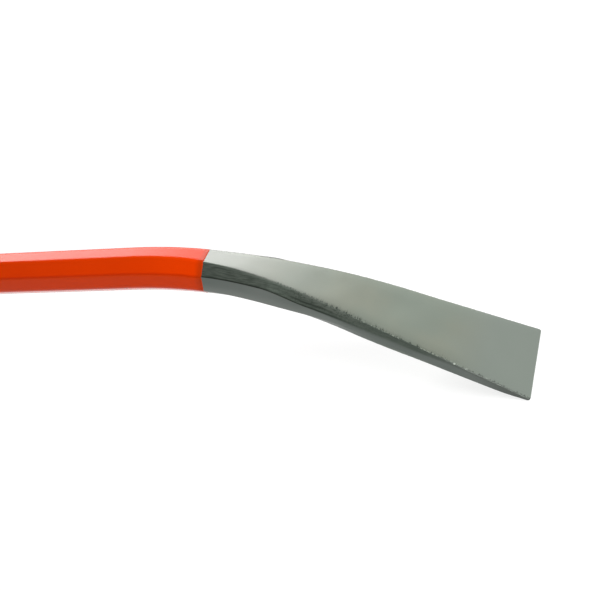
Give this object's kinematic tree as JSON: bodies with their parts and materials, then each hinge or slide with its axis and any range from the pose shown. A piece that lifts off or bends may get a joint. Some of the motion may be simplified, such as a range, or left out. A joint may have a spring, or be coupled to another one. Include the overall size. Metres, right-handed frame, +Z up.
{
  "type": "crowbar",
  "caption": "Wrecking bar of octagonal steel: flared chisel end, painted shaft, hooked end with a split nail claw.",
  "frame": {"origin": "on the surface the bar stands on, under the centre of its bounding box", "axes": "+X along the bar towards the chisel tip, +Z up as it stands on its chisel edge and claw tips, Y across the bar; the shaft itself falls 3.07 degrees towards the chisel"},
  "size_m": [0.5982, 0.0428, 0.0961],
  "materials": {
    "orange_enamel": "glossy orange-red enamel, laid thick over the rolled facets",
    "ground_chisel_steel": "bare ground steel with a satin sheen, rougher along the ground corners",
    "ground_claw_steel": "bare ground steel with a satin sheen"
  },
  "bodies": {
    "root": {"painted_shaft": "orange_enamel", "chisel_end": "ground_chisel_steel", "claw_end": "ground_claw_steel"}
  },
  "joints": []
}
